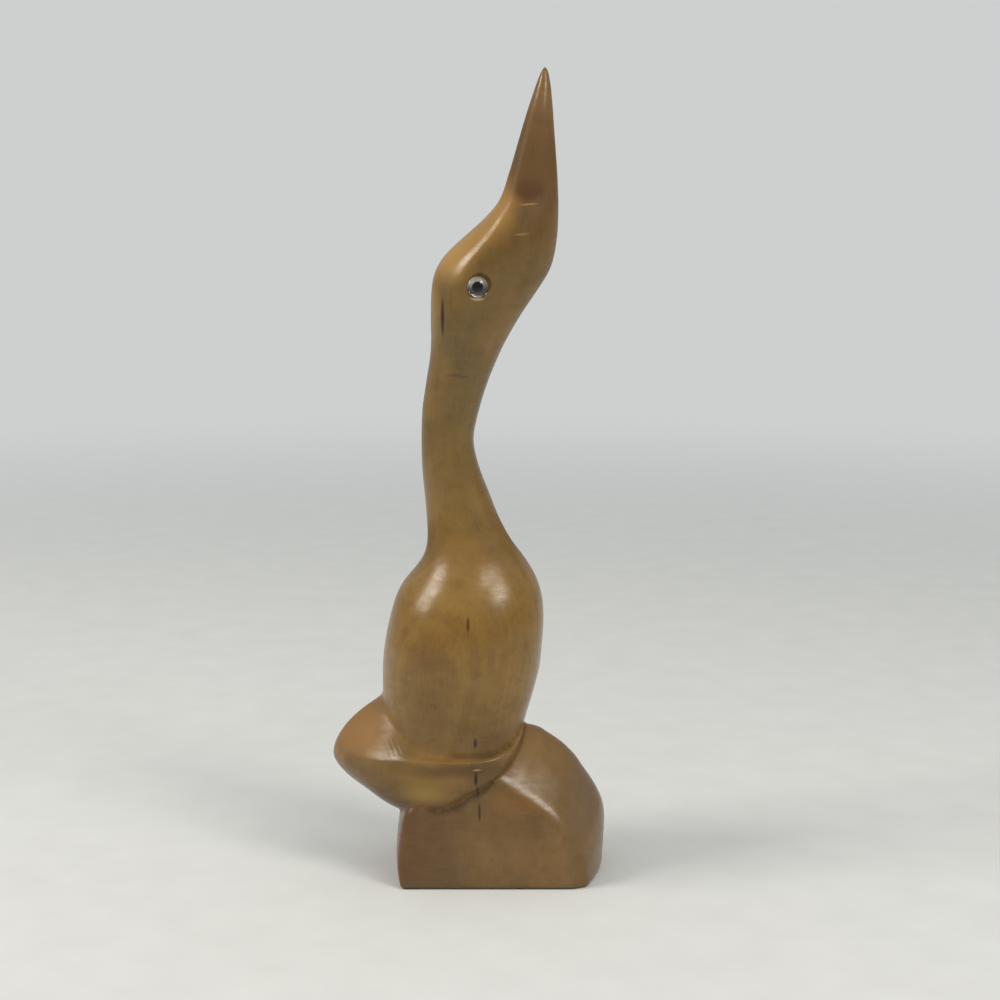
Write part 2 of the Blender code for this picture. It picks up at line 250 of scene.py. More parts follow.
dips = [math.pi / 2 * k / (HULL_RINGS + 1) for k in range(HULL_RINGS, 0, -1)]
bird_rings = [hull_ring(dip) for dip in dips] + [tail_edge]
bird_rings += [deck_ring(k / DECK_RINGS) for k in range(1, DECK_RINGS)]
bird_rings += smooth_between(level_rings, RING_STEP)
print(len(bird_rings), "rings from keel to beak")

# %% [markdown]
# ## Drawing the bird out of a disc
#
# The mesh starts as a small disc at the keel and grows by one extrusion for each ring, as a
# potter pulls up a wall. The rings aren't true ovals, so each new ring is moved onto its outline
# point by point. Every point remembers its number, which the extrusion copies on to the next
# ring. The last ring is merged into the beak's tip.

# %% The bird as one swelling form
HUB_EDGES = 9  # only the middle of a filled disc joins this many edges


def grow(name, outlines, tip=None):
    """Extrudes a disc through the outlines, and ends it at a tip or leaves its last face flat."""
    bpy.ops.object.select_all(action="DESELECT")
    fill = "NGON" if tip is None else "TRIFAN"
    bpy.ops.mesh.primitive_circle_add(vertices=len(outlines[0]), radius=0.01, fill_type=fill)
    piece = bpy.context.object
    piece.name = piece.data.name = name
    bpy.ops.object.mode_set(mode="EDIT")
    bpy.ops.mesh.select_mode(type="EDGE" if tip is not None else "FACE")
    mesh = bmesh.from_edit_mesh(piece.data)
    number = mesh.verts.layers.int.new("number")
    rim = [v for v in mesh.verts if v.is_boundary and len(v.link_edges) < HUB_EDGES]
    rim.sort(key=lambda v: v.index)
    for i, corner in enumerate(rim):
        corner[number] = i
        corner.co = outlines[0][i]
    if tip is not None:
        hub = next(v for v in mesh.verts if len(v.link_edges) >= HUB_EDGES)
        hub.co = KEEL
        bpy.ops.mesh.select_all(action="DESELECT")
        mesh = bmesh.from_edit_mesh(piece.data)
        for edge in mesh.edges:
            edge.select_set(edge.is_boundary)
    bmesh.update_edit_mesh(piece.data)
    for outline in outlines[1:]:
        bpy.ops.mesh.extrude_region_move()
        mesh = bmesh.from_edit_mesh(piece.data)
        number = mesh.verts.layers.int["number"]
        for corner in mesh.verts:
            if corner.select:
                corner.co = outline[corner[number]]
        bmesh.update_edit_mesh(piece.data)
    if tip is not None:
        bpy.ops.mesh.extrude_region_move()
        mesh = bmesh.from_edit_mesh(piece.data)
        for corner in mesh.verts:
            if corner.select:
                corner.co = tip
        bpy.ops.mesh.merge(type="CENTER")
    bpy.ops.mesh.select_all(action="SELECT")
    bpy.ops.mesh.normals_make_consistent(inside=False)
    bpy.ops.object.mode_set(mode="OBJECT")
    return piece


bird = grow("carved_bird_surface", bird_rings, BEAK_TIP)
apply_change(bird, "SUBSURF", levels=1, render_levels=1)
print("the bird has", faces_of(bird), "faces")

# %% [markdown]
# ## The rock
#
# The rock was left from the lower end of the block. Its two flat faces lean in a little, its left
# side is a ramp under the tail, and its top was rounded over into the sloping right side. The
# outline is laid out twice, along the middle of the block and along its flat faces, and the
# slices between them turn from the one into the other.

# %% The rock as slices across the block
ROCK_DEPTH = 0.0214  # half of it, at the foot
ROCK_LEAN = 3.7  # the share of the depth that is lost in each metre of height
ROCK_EDGE = 0.0020  # rounding along the flat faces
CORNER_HEIGHT = 0.012  # above it the upright corner turns into the ridge over the right side
CORNER_FROM = 0.020  # X from which the right side is faceted, and the way it takes to get there
CORNER_BLEND = 0.010
ROW_STEP = 0.0009  # between the rows round the rock

# X and Z along the middle of the block, X and Z along its faces, and how the one turns into the
# other: 1 is a straight slope and more is rounder
ROCK_OUTLINE = [
    (-0.0185, 0.0000, -0.0190, 0.0000, 1.5),
    (-0.0199, 0.0013, -0.0202, 0.0013, 4.0),
    (-0.0213, 0.0065, -0.0205, 0.0065, 4.0),
    (-0.0211, 0.0140, -0.0196, 0.0140, 4.0),
    (-0.0197, 0.0212, -0.0179, 0.0218, 4.0),
    (-0.0165, 0.0262, -0.0150, 0.0251, 4.0),
    (-0.0110, 0.0300, -0.0105, 0.0264, 3.0),
    (-0.0050, 0.0335, -0.0055, 0.0276, 1.5),
    (0.0005, 0.0366, 0.0000, 0.0290, 1.5),
    (0.0055, 0.0394, 0.0038, 0.0304, 1.9),
    (0.0100, 0.0416, 0.0072, 0.0315, 1.7),
    (0.0150, 0.0430, 0.0095, 0.0304, 1.6),
    (0.0190, 0.0422, 0.0120, 0.0286, 1.6),
    (0.0228, 0.0400, 0.0156, 0.0262, 1.5),
    (0.0262, 0.0376, 0.0192, 0.0237, 1.5),
    (0.0297, 0.0342, 0.0229, 0.0212, 1.5),
    (0.0325, 0.0303, 0.0258, 0.0184, 1.6),
    (0.0349, 0.0268, 0.0275, 0.0155, 2.0),
    (0.0370, 0.0232, 0.0285, 0.0128, 2.5),
    (0.0385, 0.0195, 0.0291, 0.0105, 2.9),
    (0.0391, 0.0155, 0.0294, 0.0083, 3.3),
    (0.0389, 0.0100, 0.0297, 0.0055, 3.9),
    (0.0386, 0.0050, 0.0300, 0.0033, 4.4),
    (0.0382, 0.0011, 0.0299, 0.0010, 4.8),
    (0.0372, 0.0000, 0.0290, 0.0000, 4.8),
]

rock_knots = [[row[:2], row[2:4], (row[4], 0)] for row in ROCK_OUTLINE]
rock_rows = smooth_between(rock_knots, ROW_STEP)


def rock_slice(y, inset):
    """The rock's outline at a distance y from the middle, drawn in by an inset."""
    t = abs(y) / ROCK_DEPTH
    flat = []
    for middle, face, turn in rock_rows:
        share = t**turn.x
        if middle.x > CORNER_FROM:
            above = face.y - CORNER_HEIGHT
            corner = 0.89 - 24 * max(0.0, above)
            there = 0.86 + (30 * above if above < 0 else -36 * above)
            faceted = there * (t / corner) ** 1.7
            if t > corner:
                faceted = there + (1 - there) * (t - corner) / (1 - corner)
            share += (faceted - share) * min(1.0, (middle.x - CORNER_FROM) / CORNER_BLEND)
        point = middle.lerp(face, min(1.0, max(0.0, share)))
        flat.append(Vector((point.x, max(0.0, point.y))))
    outline = []
    for i, point in enumerate(flat):
        before = (point - flat[i - 1]).normalized()
        after = (flat[(i + 1) % len(flat)] - point).normalized()
        outward = Vector((-before.y - after.y, before.x + after.x))
        eased = inset * (0.45 + 0.55 * min(1.0, point.y / 0.012))
        drawn = point - outward * eased / (1 + before.dot(after))
        outline.append(Vector((drawn.x, y * (1 - ROCK_LEAN * drawn.y), drawn.y)))
    return outline


flat_depth = ROCK_DEPTH - ROCK_EDGE
slices = [rock_slice(flat_depth * math.sin(math.pi * (i / 40 - 0.5)), 0) for i in range(41)]
for k in range(1, 6):
    lean = math.pi / 2 * k / 5
    y = flat_depth + ROCK_EDGE * math.sin(lean)
    inset = ROCK_EDGE * (1 - math.cos(lean))
    slices = [rock_slice(-y, inset)] + slices + [rock_slice(y, inset)]

rock = grow("rock", slices)
print("the rock has", faces_of(rock), "faces in", len(slices), "slices")

# %% [markdown]
# ## One block of wood
#
# Bird and rock are one piece of wood, so nothing may show where one mesh enters the other. A
# voxel remesh melts them into a single skin of small even squares, and a little smoothing rounds
# the corners as sandpaper and thick varnish do.

# %% Bird and rock become one skin
VOXEL = 0.00063

only(rock)
bird.select_set(True)
bpy.context.view_layer.objects.active = bird
bpy.ops.object.join()
bird.data.transform(Matrix.Translation((MIDDLE, 0, 0)))
bird.data.remesh_voxel_size = VOXEL
bpy.ops.object.voxel_remesh()
print("after the remesh:", faces_of(bird), "faces")
apply_change(bird, "SMOOTH", factor=0.5, iterations=6)
print("carved skin:", sum(len(f.vertices) - 2 for f in bird.data.polygons), "triangles")

# %% [markdown]
# ## Hand work on the surface
#
# Towards the tail's tip the gouge left a soft hollow between body and tail, so that place is
# smoothed much more than the rest, and so is the thin lip where tail, body and rock meet on
# either side. Sanding by hand leaves no surface quite even. A slow noise of a few hundredths of a
# millimetre breaks up the reflections like that, and a finer one, drawn out level round the
# figure, stands for the marks of the sandpaper.

# %% Soft hollow and rubbed lip
HOLLOW_MIDDLE = (-18.0, 0.0, 46.0)  # in mm, as the next three are
HOLLOW_REACH = 24
LIP_MIDDLE = (12.5, 16.0, 41.5)  # and its mirror image behind
LIP_REACH = 6.5

soft = bird.vertex_groups.new(name="soft_hollow")
for corner in bird.data.vertices:
    reach = math.dist(corner.co * 1000, HOLLOW_MIDDLE)
    ahead = min(1.0, max(0.0, (-0.005 - corner.co.x) / 0.006))
    weight = ahead * min(1.0, max(0.0, (corner.co.z - 0.0370) / 0.003)) * (reach < HOLLOW_REACH)
    if weight > 0:
        soft.add([corner.index], weight, "REPLACE")
apply_change(bird, "SMOOTH", factor=0.5, iterations=30, vertex_group="soft_hollow")

rubbed = bird.vertex_groups.new(name="rubbed_lip")
for corner in bird.data.vertices:
    x, y, z = corner.co * 1000
    reach = math.dist((x, abs(y), z), LIP_MIDDLE)
    if reach < LIP_REACH:
        rubbed.add([corner.index], min(1.0, (LIP_REACH - reach) / 2), "REPLACE")
apply_change(bird, "SMOOTH", factor=0.5, iterations=14, vertex_group="rubbed_lip")
print("smoothed by hand in two places")

# %% Uneven sanding
# how fast each noise changes level and upright, and its height
UNEVEN = ((170, 170, 0.00004), (420, 420, 0.000012), (140, 800, 0.000009))
lifts = []
for corner in bird.data.vertices:
    lift = 0
    for level, upright, height in UNEVEN:
        lift += noise.noise(corner.co * Vector((level, level, upright))) * height
    lifts.append(corner.co + corner.normal * lift)
for corner, there in zip(bird.data.vertices, lifts):
    corner.co = there
print("uneven by at most", sum(row[2] for row in UNEVEN) * 1000, "mm")

# %% [markdown]
# ## Hollows
#
# Where two forms meet, the knife leaves a clean line, and the finish paints it darker as painted
# shade. A smoother copy of the skin tells where these lines are: it lies outside the wood in a
# hollow. That distance cuts the line a little deeper, and is kept on the points for the finish. A
# second, wider hollow keeps the shade that the overhanging hull leaves on the rock.

# %% How deep a point lies
def depth_below(piece, rounds):
    """How far each point lies below a smoother copy of the piece."""
    only(piece)
    bpy.ops.object.duplicate()
    copy = bpy.context.object
    apply_change(copy, "SMOOTH", factor=0.5, iterations=rounds)
    pairs = zip(piece.data.vertices, copy.data.vertices)
    depths = [(smoother.co - corner.co).dot(corner.normal) for corner, smoother in pairs]
    bpy.data.objects.remove(copy)
    return depths


narrow_depths = depth_below(bird, 16)
wide_depths = depth_below(bird, 90)
print("the deepest line lies", round(max(narrow_depths) * 1000, 2), "mm below its edges")

# %% Deepen and remember the hollows
FULL_HOLLOW = 0.00022  # the depths at which the finish takes a place as fully hollow or shaded
FULL_SHADE = 0.0002
EVEN = 0.00003  # depths below this are left uncut

hollows = []
shades = []
moved = []
for corner, narrow, wide in zip(bird.data.vertices, narrow_depths, wide_depths):
    at_front = min(1.0, max(0.0, (corner.co.x + 0.010) / 0.008))
    under_hull = min(1.0, max(0.0, (0.034 - corner.co.z) / 0.002))
    under_hull *= min(1.0, max(0.0, (corner.co.x + 0.0165) / 0.004))
    crisp = max(at_front, under_hull)
    hollows.append(crisp * min(1.0, max(0.0, narrow / FULL_HOLLOW)))
    on_rock = under_hull * (-0.01 < corner.normal.z < 0.3)
    shades.append(on_rock * min(1.0, max(0.0, wide / FULL_SHADE)))
    cut = 0.05 + 0.70 * under_hull
    there = corner.co - corner.normal * crisp * max(0.0, narrow - EVEN) * cut
    moved.append(Vector((there.x, there.y, max(0.0, there.z))))
for corner, there in zip(bird.data.vertices, moved):
    corner.co = there
for name, values in (("hollow", hollows), ("shade", shades)):
    kept = bird.data.attributes.new(name, "FLOAT", "POINT")
    kept.data.foreach_set("value", values)
print(sum(1 for value in hollows if value > 0.5), "points lie in a hollow")


# %% [markdown]
# ## Eyes set into drilled holes
#
# Each eye is a small glass dome that looks a little forward. The hole for it was drilled square to
# the cheek, and its lip was eased with a knife, so that a pale crescent of bare wood shows below
# the glass; its colour is painted lighter still, as a painted highlight where the lip is lit. The
# hole is cut here by a turned form: a disc is extruded outwards and widened step by step, as the
# drill and the knife would leave it.

# %% Drill the sockets
EYE_X = 0.0031
EYE_HEIGHT = 0.1700
EYE_TURN = math.radians(14)
GLASS_RADIUS = 0.0029
GLASS_DOME = 0.0015
GLASS_RIM = -0.0004  # below the wood
IRIS_DEPTH = -0.0011
PUPIL_RADIUS = 0.0013


def eye_frame(side):
    """The place of an eye: its origin is on the wood and its Z points out of the head."""
    start = Vector((EYE_X, side * 0.05, EYE_HEIGHT))
    _, on_wood, _, _ = bird.ray_cast(start, Vector((0, -side, 0)))
    out = Vector((math.sin(EYE_TURN), side * math.cos(EYE_TURN), 0))
    across = Vector((0, 0, 1)).cross(out)
    turn = Matrix((across, out.cross(across), out)).transposed()
    return Matrix.Translation(on_wood) @ turn.to_4x4()


def turned_form(name, profile, sides=64):
    """A closed turned form, from a profile of radii and heights along Z."""
    bpy.ops.object.select_all(action="DESELECT")
    bpy.ops.mesh.primitive_circle_add(vertices=sides, radius=profile[0][0], fill_type="NGON")
    piece = bpy.context.object
    piece.name = piece.data.name = name
    bpy.ops.object.mode_set(mode="EDIT")
    bpy.ops.mesh.select_all(action="SELECT")
    bpy.ops.transform.translate(value=(0, 0, profile[0][1]))
    for (radius, height), (wider, higher) in zip(profile, profile[1:]):
        bpy.ops.mesh.extrude_region_move(TRANSFORM_OT_translate={"value": (0, 0, higher - height)})
        share = wider / radius
        bpy.ops.transform.resize(value=(share, share, 1), center_override=(0, 0, 0))
    bpy.ops.mesh.select_all(action="SELECT")
    bpy.ops.mesh.normals_make_consistent(inside=False)
    bpy.ops.object.mode_set(mode="OBJECT")
    return piece


eye_frames = {"right": eye_frame(-1), "left": eye_frame(1)}
socket_profile = [
    (GLASS_RADIUS + 0.00005, -0.0024),
    (GLASS_RADIUS + 0.00005, -0.0007),
    (GLASS_RADIUS + 0.00030, -0.0003),
    (GLASS_RADIUS + 0.00085, 0.0001),
    (GLASS_RADIUS + 0.00150, 0.0012),
]
for label, place in eye_frames.items():
    drill = turned_form(label + "_drill", socket_profile)
    drill.data.transform(place)
    apply_change(bird, "BOOLEAN", operation="DIFFERENCE", solver="EXACT", object=drill)
    bpy.data.objects.remove(drill)
bird.data.shade_smooth()
only(bird)
bpy.ops.object.shade_smooth_by_angle(angle=math.radians(40))
print("after the sockets:", sum(len(f.vertices) - 2 for f in bird.data.polygons), "triangles")

# %% [markdown]
# ## The glass eyes
#
# A craftsman's eye is a clear dome whose back is painted: a pale ring and a black middle. The
# dome is the top of a sphere, flattened, cut off level and given a short straight rim. The
# painted back is a turned disc, almost flat, and the black middle is a small low dome on it.

# %% Glass, iris and pupil
def sphere_cap(name, radius, rise, rim, sides=48):
    """A flattened half ball with a straight rim below it, in the eye's own frame."""
    bpy.ops.object.select_all(action="DESELECT")
    bpy.ops.mesh.primitive_uv_sphere_add(segments=sides, ring_count=sides // 2, radius=radius)
    piece = bpy.context.object
    piece.name = piece.data.name = name
    bpy.ops.object.mode_set(mode="EDIT")
    bpy.ops.mesh.select_all(action="SELECT")
    bpy.ops.transform.resize(value=(1, 1, rise / radius), center_override=(0, 0, 0))
    bpy.ops.mesh.bisect(plane_co=(0, 0, 0), plane_no=(0, 0, 1), use_fill=True, clear_inner=True)
    bpy.ops.mesh.extrude_region_move(TRANSFORM_OT_translate={"value": (0, 0, -rim)})
    bpy.ops.mesh.select_all(action="SELECT")
    bpy.ops.mesh.normals_make_consistent(inside=False)
    bpy.ops.object.mode_set(mode="OBJECT")
    return piece


eye_pieces = []
for label, place in eye_frames.items():
    glass = sphere_cap(label + "_glass_dome", GLASS_RADIUS, GLASS_DOME, 0.0007)
    glass.data.transform(Matrix.Translation((0, 0, GLASS_RIM)))
    iris_profile = [
        (GLASS_RADIUS - 0.00005, IRIS_DEPTH - 0.0010),
        (GLASS_RADIUS - 0.00005, IRIS_DEPTH - 0.0002),
        (GLASS_RADIUS * 0.75, IRIS_DEPTH - 0.0001),
        (PUPIL_RADIUS * 0.9, IRIS_DEPTH - 0.0001),
    ]
    iris = turned_form(label + "_iris", iris_profile)
    pupil = sphere_cap(label + "_pupil", PUPIL_RADIUS, 0.0003, 0.0002, sides=32)
    pupil.data.transform(Matrix.Translation((0, 0, IRIS_DEPTH)))
    for piece in (glass, iris, pupil):
        piece.data.transform(place)
        only(piece)
        bpy.ops.object.shade_smooth_by_angle(angle=math.radians(40))
    eye_pieces.append((label, glass, iris, pupil))
print(len(eye_pieces), "eyes of three parts each")

# %% [markdown]
# ## Tools for the finishes
#
# A finish is a small graph of nodes. One helper places a node, sets what is fixed and links what
# comes from another node, so that a finish reads from top to bottom like a recipe.

# %% Node helpers
def put(tree, kind, *values, out=0, **settings):
    """Places a node and fills its inputs in order. It returns one of its outputs."""
    made = tree.nodes.new(kind)
    for name, value in settings.items():
        setattr(made, name, value)
    for socket, value in zip(made.inputs, values):
        if isinstance(value, bpy.types.NodeSocket):
            tree.links.new(value, socket)
        elif value is not None:
            socket.default_value = value
    return made.outputs[out]


def maths(tree, operation, *values):
    return put(tree, "ShaderNodeMath", *values, operation=operation)


def along(tree, operation, *values, out=0):
    return put(tree, "ShaderNodeVectorMath", *values, operation=operation, out=out)


def tinted(tree, mask, below, above, way="MIX"):
    """Lays one colour over another where the mask is white."""
    made = tree.nodes.new("ShaderNodeMix")
    made.data_type = "RGBA"
    made.blend_type = way
    for index, value in ((0, mask), (6, below), (7, above)):
        if isinstance(value, bpy.types.NodeSocket):
            tree.links.new(value, made.inputs[index])
        else:
            made.inputs[index].default_value = value
    return made.outputs[2]


def between(tree, value, low, high, start=0.0, end=1.0):
    """Goes softly from start to end while the value goes from low to high."""
    return put(
        tree, "ShaderNodeMapRange", value, low, high, start, end, interpolation_type="SMOOTHSTEP"
    )


def seen(red, green, blue):
    """A colour as it looks on a screen, 0 to 255, as the light values that Blender mixes."""
    levels = [c / 255 for c in (red, green, blue)]
    light = [c / 12.92 if c < 0.04045 else ((c + 0.055) / 1.055) ** 2.4 for c in levels]
    return (*light, 1.0)


def new_finish(name):
    finish = bpy.data.materials.new(name)
    finish.use_nodes = True
    tree = finish.node_tree
    return finish, tree, tree.nodes["Principled BSDF"]


def new_effect(name, inputs, outputs):
    """A shader node group with named inputs and outputs."""
    effect = bpy.data.node_groups.new(name, "ShaderNodeTree")
    for label, kind in inputs:
        effect.interface.new_socket(label, in_out="INPUT", socket_type="NodeSocket" + kind)
    for label, kind in outputs:
        effect.interface.new_socket(label, in_out="OUTPUT", socket_type="NodeSocket" + kind)
    start = effect.nodes.new("NodeGroupInput")
    end = effect.nodes.new("NodeGroupOutput")
    return effect, start.outputs, end.inputs


def use_effect(tree, effect, *values):
    return put(tree, "ShaderNodeGroup", *values, node_tree=effect)


print("black and white on the scale of light:", seen(0, 0, 0)[0], seen(255, 255, 255)[0])

# %% [markdown]
# ## Marks on the wood
#
# A spot on the wood, such as a dark fleck of gum or a warmer patch, is the inside of a soft
# ellipsoid. One node group makes it from a middle and a size, and each mark places its own copy.

# %% Spot effect
spot, given, made = new_effect(
    "Spot on the wood",
    [("Place", "Vector"), ("Middle", "Vector"), ("Size", "Vector"), ("Softness", "Float")],
    [("Mask", "Float")],
)
offset = along(spot, "SUBTRACT", given["Place"], given["Middle"])
reach = along(spot, "LENGTH", along(spot, "DIVIDE", offset, given["Size"]), out=1)
inner = maths(spot, "SUBTRACT", 1.0, given["Softness"])
fade = put(spot, "ShaderNodeMapRange", reach, inner, 1.0, 1.0, 0.0, interpolation_type="SMOOTHSTEP")
spot.links.new(fade, made["Mask"])
print("spot effect with", len(spot.nodes), "nodes")

# %% [markdown]
# ## Varnished wood
#
# The wood is pale and fine, with its grain upright in the block. Growth rings are cut as thin
# upright lines on the flat faces and as curved bands where the form turns. Long fibres run
# between them. Clouds and a finer mottle make the tone uneven, as on wood that took its stain
# unevenly.

# %% Grain
FIGURE_HEIGHT = 0.23
RING_COUNT = 420.0  # how many times a metre each pattern changes
CLOUD_COUNT = 55.0
MOTTLE_COUNT = 240.0
FIBRE_COUNTS = (2600.0, 2600.0, 70.0)  # across the grain twice, and along it

wood, tree, shader = new_finish("varnished_wood_finish")
place = put(tree, "ShaderNodeTexCoord", out=3)

wander = put(tree, "ShaderNodeTexNoise", place, None, 28.0, 3.0, 0.5, out=1)
wander = along(tree, "SUBTRACT", wander, (0.5, 0.5, 0.5))
drift = put(tree, "ShaderNodeVectorMath", wander, None, None, 0.006, operation="SCALE")
bent = along(tree, "ADD", place, drift)
upright = put(tree, "ShaderNodeSeparateXYZ", bent, out=2)

# growth rings round the heart of the tree, which lay behind the block
PITH = (0.055, 0.16, 0.0)
flat_place = along(tree, "MULTIPLY", bent, (1.0, 1.0, 0.06))
from_pith = along(tree, "DISTANCE", flat_place, PITH, out=1)
ring_place = maths(tree, "MULTIPLY", from_pith, RING_COUNT)
ring_tone = put(
    tree, "ShaderNodeTexNoise", None, ring_place, 1.0, 2.0, 0.6, noise_dimensions="1D"
)
fibre_place = along(tree, "MULTIPLY", place, FIBRE_COUNTS)
fibre = put(tree, "ShaderNodeTexNoise", fibre_place, None, 1.0, 3.0, 0.6)
cloud = put(tree, "ShaderNodeTexNoise", place, None, CLOUD_COUNT, 4.0, 0.55)
mottle = put(tree, "ShaderNodeTexNoise", place, None, MOTTLE_COUNT, 3.0, 0.6)
print("grain from", len(tree.nodes), "nodes")

# %% Tone from foot to beak
tone = tree.nodes.new("ShaderNodeValToRGB")
tree.links.new(maths(tree, "DIVIDE", upright, FIGURE_HEIGHT), tone.inputs[0])
stops = [
    (0.00, seen(98, 76, 46)),
    (0.12, seen(104, 79, 42)),
    (0.19, seen(112, 86, 42)),
    (0.26, seen(122, 95, 46)),
    (0.33, seen(122, 90, 34)),
    # painted light and shade: the stop at 0.37 is lighter where the windows light the shoulder, and
    # the one at 0.41 darker as painted shade in the hollow at the base of the neck
    (0.37, seen(130, 100, 46)),
    (0.41, seen(108, 82, 36)),
    (0.48, seen(112, 88, 42)),
    (0.66, seen(98, 80, 42)),
    (0.76, seen(104, 80, 36)),
    (0.86, seen(92, 66, 28)),
    (1.00, seen(98, 72, 38)),
]
while len(tone.color_ramp.elements) < len(stops):
    tone.color_ramp.elements.new(0.5)
for element, (position, colour) in zip(tone.color_ramp.elements, stops):
    element.position = position
    element.color = colour
colour = tone.outputs[0]

colour = tinted(tree, between(tree, ring_tone, 0.35, 0.65, 0.0, 0.24), colour, seen(92, 60, 24))
colour = tinted(tree, between(tree, fibre, 0.45, 0.75, 0.0, 0.30), colour, seen(74, 48, 20))
colour = tinted(tree, between(tree, cloud, 0.40, 0.70, 0.0, 0.30), colour, seen(150, 112, 58))
colour = tinted(tree, between(tree, mottle, 0.45, 0.75, 0.0, 0.28), colour, seen(80, 54, 22))
print("tone in", len(stops), "stops from foot to beak")

# %% [markdown]
# ## Stains, flecks, tool marks and painted light
#
# Each mark below is a spot with a colour of its own. The broad ones come first. Some tint the wood
# where stain gathered or wore off, and many are painted light and shade: lighter gold on the brow,
# nape and root of the beak, a lighter rock top and hull edge, a painted reflection on the rock's
# right side, and painted shade at the rock's left foot and under the foot of the body. The small
# ones after them are dark flecks, nicks of the knife, a painted glint on the hull and the pale
# crescent below the eye, bare wood painted lighter where its lip is lit. They are colour only.

# %% Marks
# (middle, size, softness, colour, strength), in metres
MARKS_AND_PAINTED_LIGHT = [
    # painted light: the three brow marks are lighter gold where the light from the upper left falls
    # and shines along the brow
    ((-0.0050, 0.0, 0.1785), (0.0110, 0.0300, 0.0110), 0.9, seen(172, 130, 62), 0.75),  # brow
    ((0.0010, 0.0, 0.1835), (0.0085, 0.0300, 0.0085), 0.9, seen(172, 130, 62), 0.50),
    ((0.0065, 0.0, 0.1880), (0.0090, 0.0300, 0.0100), 0.9, seen(172, 130, 62), 0.50),
    # painted light: the nape is lighter gold where it faces the light on the left
    ((-0.0110, 0.0, 0.1640), (0.0060, 0.0300, 0.0170), 0.9, seen(154, 120, 64), 0.65),  # nape
    ((-0.0320, 0.0, 0.0440), (0.0180, 0.0300, 0.0110), 0.6, seen(136, 98, 56), 0.75),  # tail
    # painted reflection and shade: the rock's right side is darker and greyer, as its shaded side
    # mirrors the pale floor
    ((0.0340, -0.006, 0.0220), (0.0110, 0.0300, 0.0210), 0.7, seen(104, 83, 60), 0.60),  # right
    ((0.0090, -0.02, 0.0185), (0.0170, 0.0100, 0.0065), 0.9, seen(90, 62, 30), 0.45),
    # painted light: the top of the rock is lighter where it faces the light
    ((0.0190, -0.01, 0.0350), (0.0150, 0.0300, 0.0100), 0.9, seen(142, 108, 64), 0.40),
    # painted shade: the rock's left foot is darker in the shade under the hull
    ((-0.0180, -0.02, 0.0130), (0.0190, 0.0400, 0.0240), 0.9, seen(84, 54, 28), 0.68),  # left foot
    ((0.0170, -0.02, 0.0255), (0.0150, 0.0100, 0.0060), 0.9, seen(126, 84, 38), 0.45),  # ridge
    ((-0.0120, -0.02, 0.0330), (0.0130, 0.0300, 0.0065), 0.7, seen(124, 96, 38), 0.60),  # hull
    # painted shade: the next three marks darken the top of the hull and the lower end of the body
    # under the foot of the body
    ((0.0045, -0.02, 0.0345), (0.0060, 0.0200, 0.0060), 0.8, seen(90, 62, 24), 0.50),
    ((-0.0040, -0.02, 0.0358), (0.0230, 0.0200, 0.0034), 0.9, seen(76, 50, 20), 0.70),
    ((0.0080, -0.0155, 0.0430), (0.0090, 0.0120, 0.0040), 0.9, seen(84, 58, 24), 0.50),
    # painted light: the lower edge of the hull is lighter, with a painted highlight along it
    ((-0.0125, -0.02, 0.0275), (0.0120, 0.0300, 0.0050), 0.9, seen(150, 118, 58), 0.60),
    ((-0.0105, -0.02, 0.0660), (0.0080, 0.0200, 0.0050), 0.9, seen(92, 66, 30), 0.50),
    # painted light: the root of the beak is lighter gold where the left light falls on its back
    # edge
    ((0.0088, -0.002, 0.1935), (0.0080, 0.0300, 0.0110), 0.9, seen(160, 118, 60), 0.60),
    ((0.0167, -0.0072, 0.1963), (0.0062, 0.0060, 0.0046), 0.7, seen(72, 42, 14), 0.85),  # beak
    ((0.0170, -0.0077, 0.1990), (0.0080, 0.0100, 0.0060), 0.9, seen(92, 62, 26), 0.50),
    ((-0.0068, -0.0092, 0.1618), (0.0007, 0.0030, 0.0072), 0.6, seen(52, 24, 4), 0.95),
    ((-0.0036, -0.0088, 0.1455), (0.0030, 0.0040, 0.0007), 0.8, seen(66, 46, 20), 0.50),
    ((-0.0010, -0.0088, 0.1449), (0.0022, 0.0040, 0.0006), 0.8, seen(66, 46, 20), 0.55),
    ((0.0002, -0.0211, 0.0771), (0.0006, 0.0030, 0.0030), 0.6, seen(70, 38, 12), 0.85),
    ((0.0021, -0.0187, 0.0424), (0.0006, 0.0030, 0.0019), 0.5, seen(44, 24, 8), 0.95),
    ((0.0023, -0.0207, 0.0325), (0.0006, 0.0030, 0.0028), 0.5, seen(40, 20, 6), 0.95),
    ((0.0028, -0.0205, 0.0283), (0.0006, 0.0030, 0.0024), 0.6, seen(46, 24, 8), 0.85),
    ((0.0033, -0.0205, 0.0225), (0.0006, 0.0030, 0.0038), 0.6, seen(50, 28, 10), 0.85),
    ((0.0170, -0.0085, 0.1921), (0.0034, 0.0040, 0.00035), 0.7, seen(170, 132, 74), 0.55),
    ((0.0148, -0.0100, 0.1842), (0.0028, 0.0040, 0.00035), 0.7, seen(160, 124, 68), 0.45),
    # painted highlight: a short pale glint on the hull's edge
    ((0.0026, -0.0209, 0.0352), (0.0016, 0.0040, 0.00035), 0.7, seen(176, 150, 104), 0.60),
    # the pale crescent below the eye: bare wood of the eased lip, painted lighter as a painted
    # highlight on the lit lip
    ((0.0034, -0.0117, 0.1671), (0.0024, 0.0030, 0.0008), 0.9, seen(178, 158, 122), 0.90),
]
for middle, size, softness, mark_or_light_colour, strength in MARKS_AND_PAINTED_LIGHT:
    mask = use_effect(tree, spot, bent if size[0] > 0.002 else place, middle, size, softness)
    colour = tinted(tree, maths(tree, "MULTIPLY", mask, strength), colour, mark_or_light_colour)

